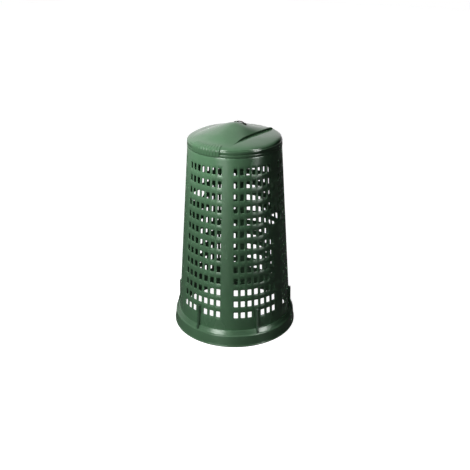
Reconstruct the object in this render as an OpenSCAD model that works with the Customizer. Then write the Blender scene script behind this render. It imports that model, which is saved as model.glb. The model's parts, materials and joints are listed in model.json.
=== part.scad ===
// Vented garden compost bin: a slotted, tapered body on a clipped base ring, with a hinged domed lid.
// Millimetres, +Z up. Origin: centre of the foot on the ground. The lid's grip faces -Y, its hinge +Y.

/* [Slotted wall] */
// Outer radius of the wall at the lowest row of slots
wall_low_r = 237.7; // [230:0.1:240]
// Outer radius of the wall at the highest row of slots
wall_high_r = 193.9; // [190:0.1:198]
// Thickness of the wall
wall_t = 3; // [2.5:0.1:4]
// Height of the middle of the lowest row of slots above the ground
low_row_z = 135; // [130:1:140]
// Distance from one row of slots to the next
row_pitch = 50; // [48:1:52]
// Number of rows of slots
row_count = 13; // [13:1:13]
// Height of one slot
slot_h = 26; // [20:1:30]
// Width of one slot, as an angle about the bin's axis
slot_angle = 4.1; // [3:0.1:5]
// Number of slotted panels round the bin
panel_count = 6; // [6:1:6]
// Number of columns of slots in one panel
column_count = 7; // [7:2:7]
// Angle from one column of slots to the next
column_pitch = 7; // [6.5:0.1:7.2]

/* [Hand-holds] */
// Width of a hand-hold, measured straight across
hand_w = 88; // [80:1:90]
// Height of a hand-hold
hand_h = 42; // [36:1:44]
// Height of the middle of a hand-hold above the ground
hand_z = 524; // [520:1:528]

/* [Base ring] */
// Radius of the foot of the base ring
foot_r = 265.5; // [262:0.5:270]
// Height of the base ring's outer skirt
skirt_h = 50; // [46:1:54]
// Height at which the ring's sloping ledge meets the body
ledge_top_z = 68; // [64:1:72]
// Thickness of the base ring's walls
ring_t = 3.5; // [3:0.1:4]
// Number of stiffening webs under the ledge
web_count = 24; // [12:12:36]

/* [Base clips] */
// Thickness of an upright clip
clip_w = 11; // [9:0.5:12]
// Height of the top of a clip above the ground
clip_top_z = 161; // [158:1:166]
// Distance that the top of a clip stands out from the body
clip_proud = 10; // [8:0.5:12]

/* [Collar] */
// Outer radius of the collar
collar_r = 191; // [190:0.1:192]
// Height of the collar's underside, where it sits on the body
seam_z = 790; // [786:1:794]
// Thickness of the collar's visible band
collar_h = 10; // [9:0.5:12]
// Radius of the mouth
mouth_r = 177; // [170:1:178]

/* [Lid] */
// Height of the lid's straight rim
rim_h = 16; // [14:0.5:18]
// Height of the flat shoulder round the lid's crown
shoulder_z = 839; // [836:0.5:842]
// Height of the top of the crown
crown_z = 879; // [870:0.5:884]
// Thickness of the lid's walls
lid_t = 3; // [2.5:0.1:3.5]
// Half width of the crown at its front end
crown_front_w = 90; // [84:1:94]
// Half width of the crown at its rear end
crown_rear_w = 76; // [70:1:80]
// Height of the step at the crown's side edges
crown_step = 8; // [5:0.5:10]

/* [Grip] */
// Half angle of the ribbed grip at the front of the lid
grip_half_angle = 21; // [18:1:24]
// Number of ribs on the grip
rib_count = 11; // [7:2:15]
// Distance that the grip stands out from the lid's rim
grip_proud = 3.2; // [2:0.1:3.5]

/* [Hinge] */
// Distance of the hinge's axis behind the bin's axis
hinge_y = 202; // [201:0.5:204]
// Distance of each hinge from the middle of the lid
hinge_x = 48; // [40:1:56]
// Radius of a hinge pin
pin_r = 3; // [2.5:0.1:3.5]
// Outer radius of a hinge knuckle
knuckle_r = 7; // [6.5:0.1:8]

/* [Lifting strap] */
// Distance between the strap's two rivets
strap_span = 48; // [44:1:60]
// Distance of the strap behind the bin's axis
strap_y = 35; // [30:1:40]
// Width of the strap
strap_w = 12; // [10:1:18]
// Thickness of the strap
strap_t = 3.5; // [3:0.5:5]
// Height of the strap's arch above the crown
strap_rise = 7.5; // [7:0.5:12]

/* [Hidden] */

green = [0.22, 0.36, 0.25];
dark_green = [0.13, 0.25, 0.16];
black = [0.05, 0.05, 0.05];
steel = [0.6, 0.6, 0.62];
round_fn = 128;

// Gaps: between fixed pieces, between moving faces, and round a turning pin.
fit_gap = 0.2;
move_gap = 0.4;
pin_gap = 0.05;

// Body wall.
taper = (wall_low_r - wall_high_r) / (row_pitch * (row_count - 1));
function body_r(z) = wall_low_r - taper * (z - low_row_z);
shelf_z = 38;
body_foot_z = shelf_z + fit_gap;
body_top_z = seam_z - fit_gap;
shoulder_drop = 5;
shoulder_in = 2;
panel_angle = 360 / panel_count;
panel_seam = 0.03;
middle_column = (column_count - 1) / 2;
cutter_depth = 16;

// Collar.
sleeve_r = body_r(seam_z) - wall_t - 1;
sleeve_t = 2.5;
sleeve_drop = 24;
lip_r = 182;
lip_t = 3;
lip_h = 7;
collar_top_z = seam_z + collar_h;

// Lid.
lid_foot_z = collar_top_z + move_gap;
rim_top_z = lid_foot_z + rim_h;
rim_r = collar_r - 0.5;
bead_in = 3;
bead_r = rim_r - bead_in;
arc_steps = 8;
grip_top_angle = 50;
shoulder_flat_r = 118;
shoulder_fall = 3;
ridge_front_slope = 0.33;
ridge_rear_slope = 0.36;
ridge_round = 20;
crown_front_y = -150;
crown_rear_y = 158;
crown_nx = 16;
crown_ny = 24;
crown_edge_t = 1;
crown_fullness = 1.6;
dome_fullness = 1.15;
crown_dome_w = 128;
crown_dome_reach = 165;

// Hinge.
hinge_z = lid_foot_z + 1.5;
lid_knuckle_l = 20;
collar_knuckle_l = 10;
knuckle_gap = 0.5;
knuckle_pitch = (lid_knuckle_l + collar_knuckle_l + 2 * knuckle_gap) / 2;
pin_l = lid_knuckle_l + 2 * (collar_knuckle_l + knuckle_gap);
pin_head_r = 4.6;
pin_head_t = 2;

// Lifting strap.
strap_steps = 24;
strap_flat = 8;
strap_arch = strap_span - 2 * strap_flat;
strap_lean = atan(ridge_rear_slope * strap_y / norm([strap_y, ridge_round]));
rivet_r = 2.5;
rivet_head_r = 5.5;
rivet_head_t = 2;
rivet_tail_r = 4.2;
rivet_tail_t = 1.5;
rivet_tail_z = -5.6;

// Wall panel: one sixth of the tapered wall, slotted in the middle and plain along both sides.
module wall_panel(index) {
    panel_turn = (index - 1) * panel_angle;
    color(green) difference() {
        rotate([0, 0, panel_turn - 90 - panel_angle / 2 + panel_seam])
            rotate_extrude(angle = panel_angle - 2 * panel_seam, $fn = round_fn) polygon([
                [body_r(body_foot_z), body_foot_z],
                [body_r(body_top_z - shoulder_drop), body_top_z - shoulder_drop],
                [body_r(body_top_z) - shoulder_in * 0.3, body_top_z - shoulder_drop * 0.3],
                [body_r(body_top_z) - shoulder_in, body_top_z],
                [body_r(body_top_z) - wall_t, body_top_z],
                [body_r(body_foot_z) - wall_t, body_foot_z]
            ]);
        for (column = [-middle_column : middle_column]) {
            angle = panel_turn + column * column_pitch;
            rotate([0, 0, angle]) slot_column(beside_hand_hold(angle));
        }
        if (abs(sin(panel_turn)) > 0.5)
            translate([sign(sin(panel_turn)) * body_r(hand_z), 0, hand_z]) hand_hold();
    }
}

// Whether a column of slots stands where a hand-hold is.
function beside_hand_hold(angle) = abs(cos(angle)) * body_r(hand_z) < hand_w / 2;

// One column of slots on the -Y side of the bin; a broken one leaves room for a hand-hold.
module slot_column(broken) {
    for (row = [0 : row_count - 1]) {
        z = low_row_z + row * row_pitch;
        if (!broken || abs(z - hand_z) > row_pitch) slot(z);
    }
}

// Width of a slot in the row at height z.
function slot_w(z) = 2 * body_r(z) * sin(slot_angle / 2);

// One slot through the -Y side of the wall; z is the height of its middle.
module slot(z) {
    translate([-slot_w(z) / 2, -body_r(z) - cutter_depth / 2, z - slot_h / 2])
        cube([slot_w(z), cutter_depth, slot_h]);
}

// A level opening with round ends, through the wall along X.
module hand_hold() {
    straight = hand_w / 2 - hand_h / 2;
    rotate([0, 90, 0]) translate([0, 0, -20]) {
        for (side = [-1, 1]) translate([0, side * straight, 0]) cylinder(r = hand_h / 2, h = 40, $fn = 48);
        translate([-hand_h / 2, -straight, 0]) cube([hand_h, 2 * straight, 40]);
    }
}

// Base ring: foot bead, tapered skirt, sloping ledge, sleeve round the body and the shelf that carries it.
module base_ring() {
    sleeve_in = body_r(shelf_z) + fit_gap;
    ledge_in = body_r(ledge_top_z) + fit_gap;
    color(green) {
        difference() {
            rotate_extrude($fn = round_fn) polygon([
                [foot_r, 0], [foot_r, 4.5], [foot_r - 2.5, 6.5],
                [foot_r - 5.5, skirt_h - 3], [foot_r - 8, skirt_h],
                [ledge_in + ring_t, ledge_top_z], [ledge_in, ledge_top_z],
                [sleeve_in, shelf_z], [sleeve_in - 14, shelf_z], [sleeve_in - 14, shelf_z - ring_t],
                [sleeve_in + ring_t, shelf_z - ring_t], [ledge_in + ring_t + 1, ledge_top_z - 6],
                [foot_r - 11, skirt_h - 4], [foot_r - 9, skirt_h - 6],
                [foot_r - 6, 6.5], [foot_r - 4.5, 0]
            ]);
            clip_slots();
        }
        for (i = [0 : web_count - 1])
            rotate([0, 0, (i + 0.5) * 360 / web_count]) web();
    }
}

// A web between the sleeve and the skirt, under the ledge, on the -Y side.
module web() {
    inner = body_r(shelf_z) + fit_gap + ring_t - 0.5;
    translate([ring_t / 2, -inner, 0]) rotate([90, 0, -90])
        linear_extrude(ring_t)
            polygon([[0, shelf_z - ring_t], [foot_r - 7 - inner, 10],
                     [foot_r - 9.5 - inner, skirt_h - 6], [1, ledge_top_z - 7]]);
}

// Slots in the ledge for the clips' feet.
module clip_slots() {
    for (i = [0 : panel_count - 1])
        rotate([0, 0, i * panel_angle])
            translate([-clip_w / 4 - fit_gap, -foot_r + 10, skirt_h - 8])
                cube([clip_w / 2 + 2 * fit_gap, 7, 30]);
}

// A clip stands on the ledge, reaches up the wall, and hooks into the lowest middle slot of its panel.
module clip_at(index) {
    top_r = body_r(clip_top_z) + clip_proud;
    tongue_z = low_row_z + slot_h / 2 - 1;
    hook_z = low_row_z - slot_h / 2;
    wall_in = body_r(hook_z) - wall_t - 2 * fit_gap;
    tongue_w = slot_w(low_row_z) - 2 * fit_gap;
    ledge_in = body_r(ledge_top_z) + fit_gap + ring_t;
    color(dark_green) rotate([0, 0, (index - 1) * panel_angle]) {
        rotate([90, 0, -90]) translate([0, 0, -clip_w / 2]) linear_extrude(clip_w) polygon([
            [body_r(clip_top_z) + fit_gap, clip_top_z], [top_r - 3, clip_top_z - 1],
            [top_r, clip_top_z - 4], [top_r + 2, ledge_top_z + 22],
            [foot_r - 11, ledge_top_z - 4], [foot_r - 7.5, skirt_h + fit_gap],
            [foot_r - 8, skirt_h + fit_gap], [ledge_in, ledge_top_z + fit_gap],
            [body_r(ledge_top_z) + fit_gap, ledge_top_z + fit_gap]
        ]);
        rotate([90, 0, -90]) translate([0, 0, -tongue_w / 2]) linear_extrude(tongue_w) polygon([
            [body_r(tongue_z) + 1, tongue_z], [wall_in - 2, tongue_z],
            [wall_in - 3.5, tongue_z - 3], [wall_in - 1, hook_z - 7], [wall_in, hook_z - 7],
            [wall_in + 0.2, hook_z + 0.5], [body_r(hook_z) + 1, hook_z + 0.5]
        ]);
        translate([-clip_w / 4, -foot_r + 10.5, skirt_h - 7]) cube([clip_w / 2, 5.5, 14]);
    }
}

// Collar: plugs into the body's top, frames the mouth and carries the lid's hinge.
module collar() {
    color(green) difference() {
        union() {
            rotate_extrude($fn = round_fn) polygon([
                [collar_r - 1, seam_z], [collar_r, seam_z + 1.5], [collar_r, collar_top_z - 1.5],
                [collar_r - 1, collar_top_z], [lip_r, collar_top_z], [lip_r - 0.5, collar_top_z + lip_h],
                [lip_r - lip_t, collar_top_z + lip_h], [mouth_r, collar_top_z - 2], [mouth_r, seam_z],
                [sleeve_r - sleeve_t, seam_z - 4], [sleeve_r - sleeve_t, seam_z - sleeve_drop],
                [sleeve_r - 0.5, seam_z - sleeve_drop], [sleeve_r, seam_z]
            ]);
            for (side = [-1, 1]) for (end = [-1, 1])
                translate([side * hinge_x + end * knuckle_pitch, 0, 0]) collar_knuckle();
        }
        for (side = [-1, 1]) translate([side * hinge_x, 0, 0]) hinge_bore(pin_l + 2, 0);
    }
}

// A round knuckle on the hinge axis with a gusset back to the collar.
module collar_knuckle() {
    translate([-collar_knuckle_l / 2, hinge_y, hinge_z]) rotate([0, 90, 0])
        cylinder(r = knuckle_r, h = collar_knuckle_l, $fn = 64);
    translate([collar_knuckle_l / 2, 0, 0]) rotate([0, -90, 0]) linear_extrude(collar_knuckle_l)
        polygon([[seam_z + 1, 178], [collar_top_z - 0.5, 178], [collar_top_z - 0.5, hinge_y],
                 [hinge_z - knuckle_r + 1, hinge_y], [hinge_z - knuckle_r, hinge_y - 3], [seam_z - 6, 190.5],
                 [seam_z + 1, 189]]);
}

// The bore for one hinge pin; slack is its radial clearance.
module hinge_bore(length, slack) {
    translate([-length / 2, hinge_y, hinge_z]) rotate([0, 90, 0])
        cylinder(r = pin_r + slack, h = length, $fn = 64);
}

// Outer outline of the lid between its rim (0) and its flat shoulder (90); a positive inset is inwards.
function shoulder_arc(inset, start = 0, end = 90) = [for (i = [0 : arc_steps])
    let (a = start + (end - start) * i / arc_steps)
    [shoulder_flat_r + (bead_r - inset - shoulder_flat_r) * cos(a),
     rim_top_z + (shoulder_z - shoulder_fall - inset - rim_top_z) * sin(a)]];

// Lid shell: straight rim, small step, round shoulder and nearly flat top, with the hinge knuckles.
module lid_shell() {
    color(green) difference() {
        union() {
            difference() {
                rotate_extrude($fn = round_fn) polygon(concat(
                    [[rim_r - 1, lid_foot_z], [rim_r, lid_foot_z + 1.5], [rim_r, rim_top_z - 2],
                     [rim_r - 1, rim_top_z]],
                    shoulder_arc(0),
                    [[0, shoulder_z], [0, shoulder_z - lid_t]],
                    [for (i = [arc_steps : -1 : 0]) shoulder_arc(lid_t)[i]],
                    [[rim_r - lid_t, rim_top_z - lid_t], [rim_r - lid_t, lid_foot_z]]
                ));
                grip_seat();
                for (side = [-1, 1]) for (end = [-1, 1])
                    translate([side * hinge_x + end * knuckle_pitch - collar_knuckle_l / 2 - knuckle_gap,
                               hinge_y - 30, lid_foot_z - 1])
                        cube([collar_knuckle_l + 2 * knuckle_gap, 40, knuckle_r + 4]);
            }
            for (side = [-1, 1]) translate([side * hinge_x, 0, 0]) lid_knuckle();
        }
        for (side = [-1, 1]) translate([side * hinge_x, 0, 0]) hinge_bore(lid_knuckle_l + 2, pin_gap);
    }
}

// A lid knuckle with its arm to the rim.
module lid_knuckle() {
    translate([-lid_knuckle_l / 2, hinge_y, hinge_z]) rotate([0, 90, 0])
        cylinder(r = knuckle_r, h = lid_knuckle_l, $fn = 64);
    translate([-lid_knuckle_l / 2, 180, lid_foot_z]) cube([lid_knuckle_l, hinge_y - 180, knuckle_r - 1.5]);
}

// The opening in the rim that the grip fills.
module grip_seat() {
    rotate([0, 0, -90 - grip_half_angle]) rotate_extrude(angle = 2 * grip_half_angle, $fn = round_fn)
        polygon([[bead_r - 2.5, lid_foot_z - 1], [bead_r + 8, lid_foot_z - 1],
                 [bead_r + 8, rim_top_z + 8], [bead_r - 2.5, rim_top_z + 8]]);
}

// Grip: a ribbed pad up the rim and over the shoulder, with a lower edge that fingers catch.
module lid_grip() {
    back_r = bead_r - 2.5 + fit_gap;
    face_r = rim_r + grip_proud - 1;
    skirt_r = collar_r + 1.5 * move_gap;
    span = 2 * grip_half_angle - 0.2;
    over = shoulder_arc(-1.4, 8, grip_top_angle);
    seat = shoulder_arc(-fit_gap, 15, grip_top_angle);
    rib_over = shoulder_arc(-2.2, 20, grip_top_angle - 3);
    rib_seat = shoulder_arc(-1, 20, grip_top_angle - 3);
    color(green) {
        rotate([0, 0, -90 - span / 2]) rotate_extrude(angle = span, $fn = round_fn)
            polygon(concat(
                [[back_r, lid_foot_z], [skirt_r, lid_foot_z], [skirt_r, seam_z + 0.5],
                 [face_r, seam_z + 0.5], [face_r, rim_top_z - 2]],
                over, reversed(seat)));
        for (i = [0 : rib_count - 1])
            rotate([0, 0, -90 + (i - (rib_count - 1) / 2) * (span - 3) / (rib_count - 1)])
                rotate([0, 0, -0.8]) rotate_extrude(angle = 1.6, $fn = round_fn)
                    polygon(concat([[face_r - 0.5, rim_top_z - 3], [face_r - 0.5, seam_z + 2],
                                    [face_r + 1, seam_z + 3], [face_r + 1, rim_top_z - 3]],
                                   rib_over, reversed(rib_seat)));
    }
}

// Top of the lid shell at distance r from the axis.
function shell_top(r) = r < shoulder_flat_r ? shoulder_z - shoulder_fall * r / shoulder_flat_r
    : rim_top_z + (shoulder_z - shoulder_fall - rim_top_z)
      * sqrt(max(0, 1 - pow((r - shoulder_flat_r) / (bead_r - shoulder_flat_r), 2)));

function reversed(list) = [for (i = [len(list) - 1 : -1 : 0]) list[i]];

// Crown: its reach to each side, stepped edge and ridge along its length, then its top and under surfaces.
function crown_w(y) = crown_front_w
    + (crown_rear_w - crown_front_w) * (y - crown_front_y) / (crown_rear_y - crown_front_y);
function crown_left_w(y) = crown_dome_w * pow(1 - pow(abs(y) / crown_dome_reach, 3), 1 / 3);
function crown_x(i, y) = let (t = 2 * i / crown_nx - 1) t * (t < 0 ? crown_left_w(y) : crown_w(y));
function crown_y(j) = crown_front_y + (crown_rear_y - crown_front_y) * j / crown_ny;
function ramp(s) = s <= 0 ? 0 : s >= 1 ? 1 : s * s * (3 - 2 * s);
function crown_edge_z(y) = shoulder_z
    + crown_step * (y < 0 ? ramp((y + 130) / 80) : ramp((crown_rear_y - y) / 34));
function crown_ridge_z(y) = crown_z
    + (y < 0 ? ridge_front_slope : ridge_rear_slope) * (ridge_round - norm([y, ridge_round]));
function crown_seat(x, y) = shell_top(norm([x, y])) + fit_gap;
function crown_top(x, y) = x < 0 ? crown_dome(-x, y) : let (edge = crown_edge_z(y))
    max(crown_seat(x, y) + crown_edge_t,
        min(edge, crown_seat(x, y) + crown_step)
        + max(0, crown_ridge_z(y) - edge) * (1 - pow(x / crown_w(y), crown_fullness)));
function crown_dome(x, y) = crown_seat(x, y) + crown_edge_t
    + max(0, crown_ridge_z(y) - crown_seat(0, y) - crown_edge_t)
    * (1 - pow(min(1, x / crown_left_w(y)), dome_fullness));
function crown_under(x, y) = let (s = abs(x / (x < 0 ? crown_left_w(y) : crown_w(y))))
    s > 0.92 || y < crown_front_y + 8 || y > crown_rear_y - 8 ? crown_seat(x, y)
    : max(crown_seat(x, y), crown_top(x, y) - lid_t);

// Crown: the raised dome, which runs out smoothly at -X and steps down to the shell at +X.
module lid_crown() {
    row = crown_nx + 1;
    layer = row * (crown_ny + 1);
    top = [for (j = [0 : crown_ny]) for (i = [0 : crown_nx])
        let (y = crown_y(j), x = crown_x(i, y)) [x, y, crown_top(x, y)]];
    under = [for (j = [0 : crown_ny]) for (i = [0 : crown_nx])
        let (y = crown_y(j), x = crown_x(i, y)) [x, y, crown_under(x, y)]];
    faces_top = [for (j = [0 : crown_ny - 1]) for (i = [0 : crown_nx - 1]) for (half = [0, 1])
        let (a = j * row + i)
        half == 0 ? [a, a + row, a + row + 1] : [a, a + row + 1, a + 1]];
    faces_under = [for (f = faces_top) [f[0] + layer, f[2] + layer, f[1] + layer]];
    rim = concat([for (i = [0 : crown_nx]) i],
                 [for (j = [1 : crown_ny]) j * row + crown_nx],
                 [for (i = [1 : crown_nx]) crown_ny * row + crown_nx - i],
                 [for (j = [1 : crown_ny - 1]) (crown_ny - j) * row]);
    count = len(rim);
    faces_side = [for (k = [0 : count - 1]) for (half = [0, 1])
        let (a = rim[k], b = rim[(k + 1) % count])
        half == 0 ? [a, b, b + layer] : [a, b + layer, a + layer]];
    color(green) difference() {
        polyhedron(points = concat(top, under), faces = concat(faces_top, faces_under, faces_side));
        on_crown() rivet_bores();
    }
}

// A headed hinge pin; side is -1 for the left hinge and 1 for the right one.
module hinge_pin(side) {
    color(steel) translate([side * hinge_x - pin_l / 2, hinge_y, hinge_z]) rotate([0, 90, 0]) {
        cylinder(r = pin_r, h = pin_l, $fn = 64);
        translate([0, 0, side > 0 ? pin_l : -pin_head_t]) cylinder(r = pin_head_r, h = pin_head_t, $fn = 64);
    }
}

// Frame of the strap: its XY plane lies on the crown's rearward slope, under the strap's middle.
module on_crown() {
    translate([0, strap_y, crown_top(strap_arch / 2, strap_y) + 2 * fit_gap])
        rotate([-strap_lean, 0, 0]) children();
}

// Underside of the strap: an arch over the middle, then flat ends that follow the crown.
function strap_under(x) = abs(x) < strap_arch / 2
    ? (strap_rise - strap_t) * (1 - pow(abs(2 * x / strap_arch), 3))
    : crown_top(abs(x), strap_y) - crown_top(strap_arch / 2, strap_y);

// Lifting strap: a flexible band whose ends are riveted to the crown.
module lifting_strap() {
    end_x = strap_span / 2 + strap_flat;
    xs = [for (i = [0 : strap_steps]) end_x * (2 * i / strap_steps - 1)];
    color(black) on_crown() difference() {
        translate([0, strap_w / 2, 0]) rotate([90, 0, 0]) linear_extrude(strap_w)
            polygon(concat([for (x = xs) [x, strap_under(x)]],
                           [for (i = [strap_steps : -1 : 0]) [xs[i], strap_under(xs[i]) + strap_t]]));
        rivet_bores();
    }
}

// Rivet holes through the strap and the crown, in the strap's frame.
module rivet_bores() {
    for (side = [-1, 1])
        translate([side * strap_span / 2, 0, -10]) cylinder(r = rivet_r + fit_gap, h = 20, $fn = 32);
}

// Two round-headed rivets, from the top of the strap's ends to under the crown's skin.
module strap_rivets() {
    top_z = strap_under(strap_span / 2 - rivet_head_r * 0.7) + strap_t + fit_gap;
    color(black) on_crown() for (side = [-1, 1]) translate([side * strap_span / 2, 0, 0]) {
        translate([0, 0, top_z]) cylinder(r = rivet_head_r, h = rivet_head_t, $fn = 48);
        translate([0, 0, rivet_tail_z]) cylinder(r = rivet_r, h = top_z + 0.5 - rivet_tail_z, $fn = 32);
        translate([0, 0, rivet_tail_z - rivet_tail_t]) cylinder(r = rivet_tail_r, h = rivet_tail_t, $fn = 48);
    }
}

base_ring();
for (i = [1 : panel_count])
    wall_panel(i);
for (i = [1 : panel_count])
    clip_at(i);
collar();
lid_shell();
lid_crown();
lid_grip();
hinge_pin(-1);  // hinge_pin_left
hinge_pin(1);  // hinge_pin_right
strap_rivets();
lifting_strap();
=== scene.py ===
"""Looks of the vented compost bin: moulded surfaces, materials, floor, light and camera."""

import json
import math

import bmesh
import bpy
from mathutils import Matrix, Vector


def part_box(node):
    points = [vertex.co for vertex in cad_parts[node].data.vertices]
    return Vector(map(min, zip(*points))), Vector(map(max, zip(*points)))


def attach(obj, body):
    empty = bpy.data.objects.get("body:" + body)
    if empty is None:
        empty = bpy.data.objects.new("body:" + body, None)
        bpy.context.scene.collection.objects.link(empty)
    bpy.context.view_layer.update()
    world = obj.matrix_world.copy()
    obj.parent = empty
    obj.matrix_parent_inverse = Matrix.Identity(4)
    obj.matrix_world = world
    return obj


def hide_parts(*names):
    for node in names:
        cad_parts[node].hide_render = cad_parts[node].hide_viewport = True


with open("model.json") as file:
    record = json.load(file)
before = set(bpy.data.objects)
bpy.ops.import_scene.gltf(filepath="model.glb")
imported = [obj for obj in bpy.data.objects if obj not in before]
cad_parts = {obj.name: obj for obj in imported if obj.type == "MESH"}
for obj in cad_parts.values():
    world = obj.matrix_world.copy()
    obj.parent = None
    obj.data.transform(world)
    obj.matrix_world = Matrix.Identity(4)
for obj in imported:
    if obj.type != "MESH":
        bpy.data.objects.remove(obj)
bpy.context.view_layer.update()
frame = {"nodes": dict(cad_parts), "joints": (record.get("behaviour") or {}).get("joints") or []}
nodes = frame["nodes"]

# ---------------------------------------------------------------- camera and stage
AXIS_TURN = math.radians(37.875)  # the camera stands this far round from -Y towards +X
CAM_DIST, CAM_HEIGHT, CAM_PITCH = 2.4926, 1.5154, math.radians(24.30)
LENS, SENSOR = 49.16, 36.0
FRAME_SHIFT = 0.0006


def toward(azimuth, distance, z):
    """A point at an azimuth from the camera's own direction, in degrees to the camera's right."""
    a = AXIS_TURN + math.radians(azimuth)
    return Vector((distance * math.sin(a), -distance * math.cos(a), z))


cam_data = bpy.data.cameras.new("camera")
cam_data.sensor_width = SENSOR
cam_data.lens = LENS
cam_data.shift_x = FRAME_SHIFT
camera = bpy.data.objects.new("camera", cam_data)
bpy.context.scene.collection.objects.link(camera)
camera.location = toward(0.0, CAM_DIST, CAM_HEIGHT)
camera.rotation_euler = (math.pi / 2 - CAM_PITCH, 0.0, AXIS_TURN)
bpy.context.scene.camera = camera


# ---------------------------------------------------------------- mesh helpers
def add_mesh(name, verts, faces, sharp=40.0):
    """A new object from vertices and faces, with clean normals and sharp edges over an angle."""
    mesh = bpy.data.meshes.new(name)
    mesh.from_pydata([tuple(v) for v in verts], [], faces)
    bm = bmesh.new()
    bm.from_mesh(mesh)
    bmesh.ops.remove_doubles(bm, verts=bm.verts, dist=1e-6)
    bmesh.ops.recalc_face_normals(bm, faces=bm.faces)
    bm.to_mesh(mesh)
    bm.free()
    mesh.polygons.foreach_set("use_smooth", [True] * len(mesh.polygons))
    mesh.set_sharp_from_angle(angle=math.radians(sharp))
    obj = bpy.data.objects.new(name, mesh)
    bpy.context.scene.collection.objects.link(obj)
    return obj


def join_parts(name, parts):
    """One object from several, without the operators' selection state."""
    mesh = bpy.data.meshes.new(name)
    bm = bmesh.new()
    for part in parts:
        bm.from_mesh(part.data)
    bm.to_mesh(mesh)
    bm.free()
    mesh.polygons.foreach_set("use_smooth", [True] * len(mesh.polygons))
    mesh.set_sharp_from_angle(angle=math.radians(40))
    obj = bpy.data.objects.new(name, mesh)
    bpy.context.scene.collection.objects.link(obj)
    for part in parts:
        old = part.data
        bpy.data.objects.remove(part)
        bpy.data.meshes.remove(old)
    return obj


def rounded(points, radius=0.001, steps=4):
    """A closed outline with its corners rounded; a point may carry its own radius as a third value."""
    out = []
    n = len(points)
    for i, p in enumerate(points):
        r = p[2] if len(p) > 2 else radius
        a = Vector(points[i - 1][:2]) - Vector(p[:2])
        b = Vector(points[(i + 1) % n][:2]) - Vector(p[:2])
        la, lb = a.length, b.length
        if r <= 0 or la < 1e-9 or lb < 1e-9:
            out.append(tuple(p[:2]))
            continue
        a.normalize()
        b.normalize()
        half = math.acos(max(-1.0, min(1.0, a.dot(b)))) / 2
        if half > math.radians(88):
            out.append(tuple(p[:2]))
            continue
        cut = min(r / math.tan(half), 0.45 * la, 0.45 * lb)
        start, end = Vector(p[:2]) + a * cut, Vector(p[:2]) + b * cut
        for k in range(steps + 1):
            t = k / steps
            q = (1 - t) ** 2 * start + 2 * t * (1 - t) * Vector(p[:2]) + t * t * end
            out.append((q.x, q.y))
    return out


def revolve(name, outline, segments=240, sharp=40.0):
    """A ring: a closed outline of (radius, z) turned round the bin's axis."""
    verts, faces = [], []
    n = len(outline)
    for s in range(segments):
        a = 2 * math.pi * s / segments
        verts += [(r * math.sin(a), -r * math.cos(a), z) for r, z in outline]
    for s in range(segments):
        t = (s + 1) % segments
        for i in range(n):
            j = (i + 1) % n
            faces.append((s * n + i, s * n + j, t * n + j, t * n + i))
    return add_mesh(name, verts, faces, sharp)


def prism(name, outline, half_width, bevel, segments):
    """An outline in (radius, z) given a thickness across, on the -Y side, with bevelled edges."""
    verts = [(-half_width, -r, z) for r, z in outline] + [(half_width, -r, z) for r, z in outline]
    n = len(outline)
    faces = [tuple(range(n)), tuple(range(2 * n - 1, n - 1, -1))]
    faces += [(i, (i + 1) % n, n + (i + 1) % n, n + i) for i in range(n)]
    obj = add_mesh(name, verts, faces)
    bm = bmesh.new()
    bm.from_mesh(obj.data)
    edges = [e for e in bm.edges if e.calc_face_angle(0.0) > math.radians(25)]
    bmesh.ops.bevel(bm, geom=edges, offset=bevel, segments=segments, profile=0.5, affect="EDGES",
                    clamp_overlap=True)
    bm.to_mesh(obj.data)
    bm.free()
    obj.data.polygons.foreach_set("use_smooth", [True] * len(obj.data.polygons))
    obj.data.set_sharp_from_angle(angle=math.radians(40))
    return obj


def rod(name, start, end, radius, chamfer=0.0006, segments=48):
    """A round bar along X with rounded ends, for knuckles."""
    y, z = start[1], start[2]
    x0, x1 = start[0], end[0]
    rings = [(x0, 0.0), (x0, radius - chamfer), (x0 + 0.3 * chamfer, radius - 0.3 * chamfer),
             (x0 + chamfer, radius), (x1 - chamfer, radius),
             (x1 - 0.3 * chamfer, radius - 0.3 * chamfer), (x1, radius - chamfer), (x1, 0.0)]
    verts, faces = [], []
    for x, r in rings:
        for s in range(segments):
            a = 2 * math.pi * s / segments
            verts.append((x, y + max(r, 1e-5) * math.cos(a), z + max(r, 1e-5) * math.sin(a)))
    for k in range(len(rings) - 1):
        for s in range(segments):
            t = (s + 1) % segments
            faces.append((k * segments + s, k * segments + t, (k + 1) * segments + t, (k + 1) * segments + s))
    faces.append(tuple(range(segments)))
    faces.append(tuple((len(rings) - 1) * segments + s for s in reversed(range(segments))))
    return add_mesh(name, verts, faces)


def turned(obj, degrees):
    """Turns an object's mesh round the bin's axis."""
    obj.data.transform(Matrix.Rotation(math.radians(degrees), 4, "Z"))
    return obj


def smooth_step(t):
    t = max(0.0, min(1.0, t))
    return t * t * (3 - 2 * t)


# ---------------------------------------------------------------- the frame's sizes, in metres
body_lo, body_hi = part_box("wall_panel_1")
FOOT_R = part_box("base_ring")[1].x
WALL_T = 0.003
LOW_ROW, ROW_PITCH, ROWS = 0.135, 0.050, 13
WALL_LOW_R, WALL_HIGH_R = 0.2377, 0.1939
TAPER = (WALL_LOW_R - WALL_HIGH_R) / (ROW_PITCH * (ROWS - 1))
SLOT_H, SLOT_ANGLE, PITCH_ANGLE, COLUMNS, PANELS = 0.026, 4.1, 7.0, 7, 6
SLOT_ROUND, HOLE_FILLET = 0.0022, 0.0009  # corner radius of a slot; fillet round the mouth of every hole
PANEL_ANGLE = 360.0 / PANELS
HAND_W, HAND_H, HAND_Z = 0.088, 0.042, 0.524
SKIRT_H, LEDGE_TOP, RING_T, SHELF_Z = 0.050, 0.068, 0.0035, 0.038
SEAM_Z, COLLAR_TOP = 0.790, 0.800
LID_FOOT, RIM_TOP = 0.8004, 0.8164
RIM_R, BEAD_R = 0.1905, 0.1875
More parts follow.
